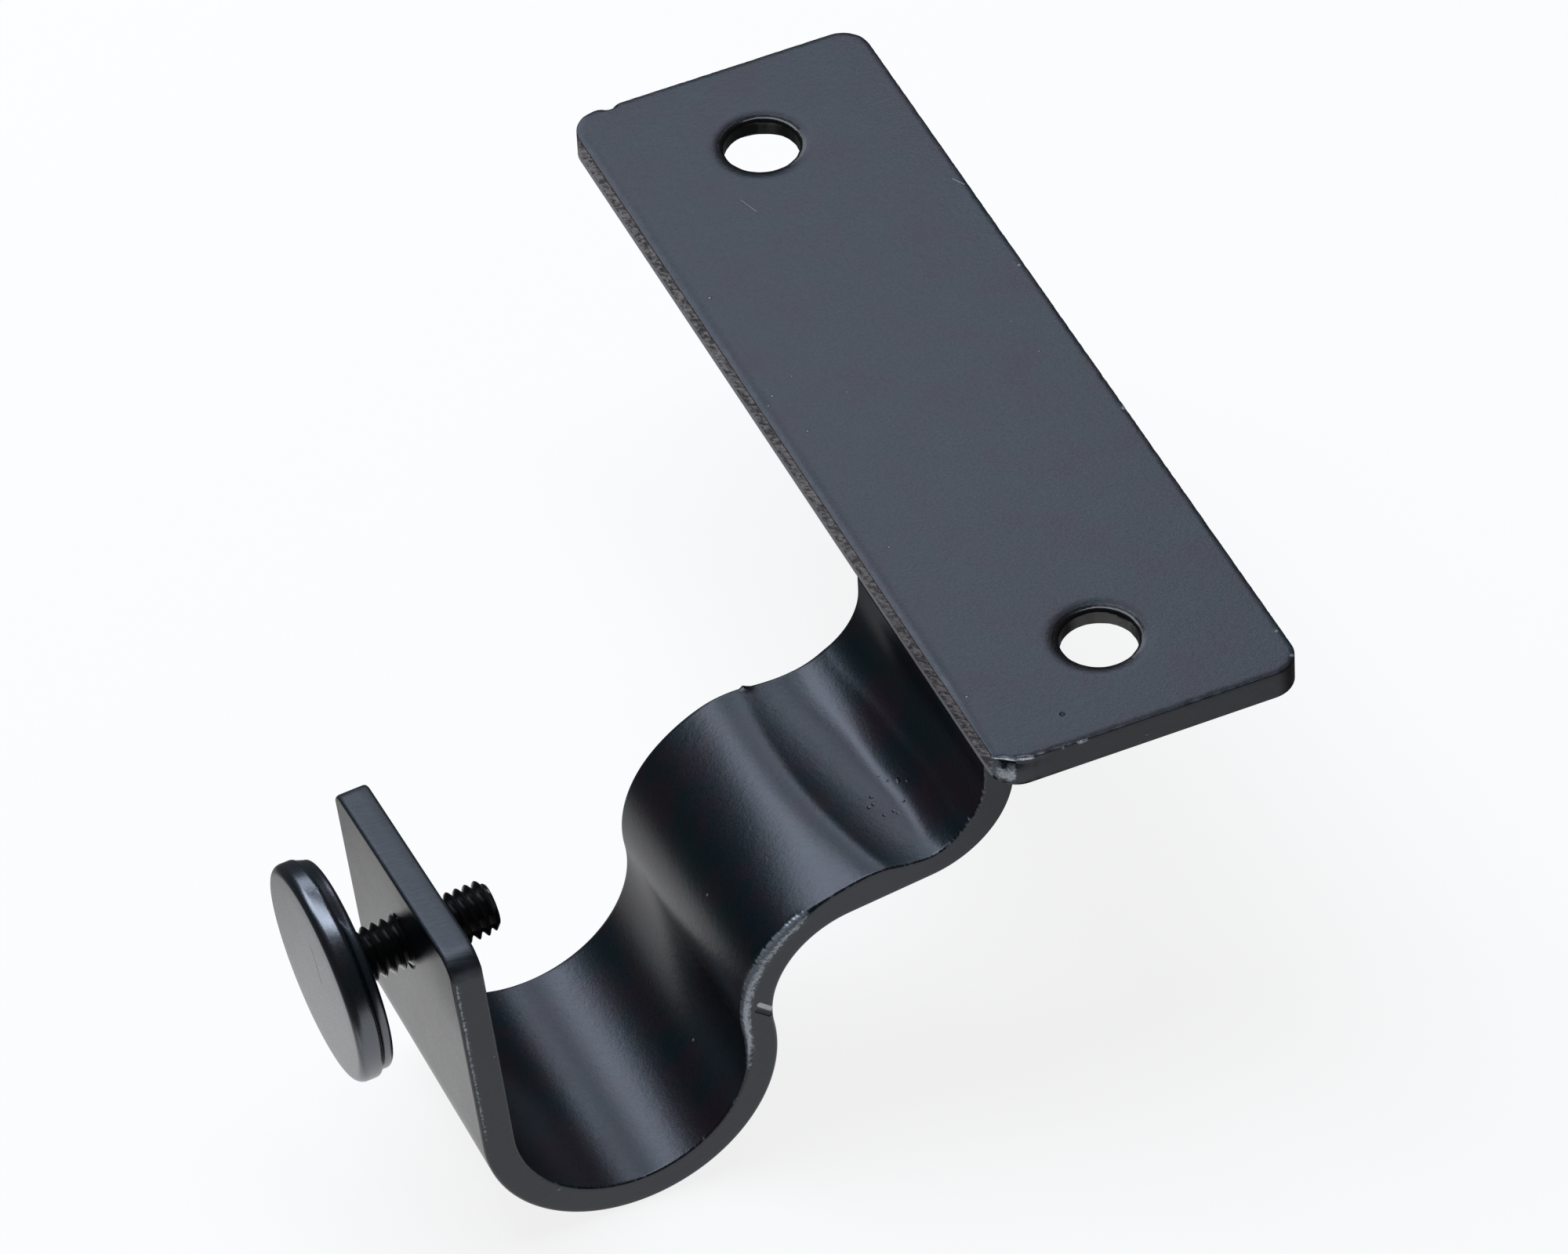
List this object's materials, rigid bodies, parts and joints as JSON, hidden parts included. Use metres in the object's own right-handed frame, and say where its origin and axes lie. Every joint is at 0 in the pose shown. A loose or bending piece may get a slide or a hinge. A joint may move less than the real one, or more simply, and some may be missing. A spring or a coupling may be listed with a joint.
{
  "type": "curtain pole bracket",
  "caption": "Black steel bracket that carries the end of a curtain pole under a ceiling or lintel, with an open cup and a thumb screw across its mouth.",
  "frame": {"origin": "middle of the mounting face, midway between the two screw holes", "axes": "+Z points out of the mounting face, up to the ceiling; +Y runs along the plate and the pole; the pole cup is on the -X side, at the plate's -Y end"},
  "size_m": [0.0693, 0.0746, 0.0327],
  "materials": {
    "powder_coat": "black satin powder coat, finely grained, thin at sheared edges and chipped at corners",
    "screw_coat": "black satin coat on turned steel, glossier on rounded rims, dark in the thread"
  },
  "bodies": {
    "bracket": {"mounting_plate": "powder_coat", "pole_arm": "powder_coat"},
    "screw": {"thumb_screw": "screw_coat"}
  },
  "joints": [
    {"name": "screw_feed", "type": "slide", "parent": "bracket", "child": "screw", "axis": [-0.9969, 0, -0.0785], "range_m": [-0.0039, 0.005]}
  ]
}
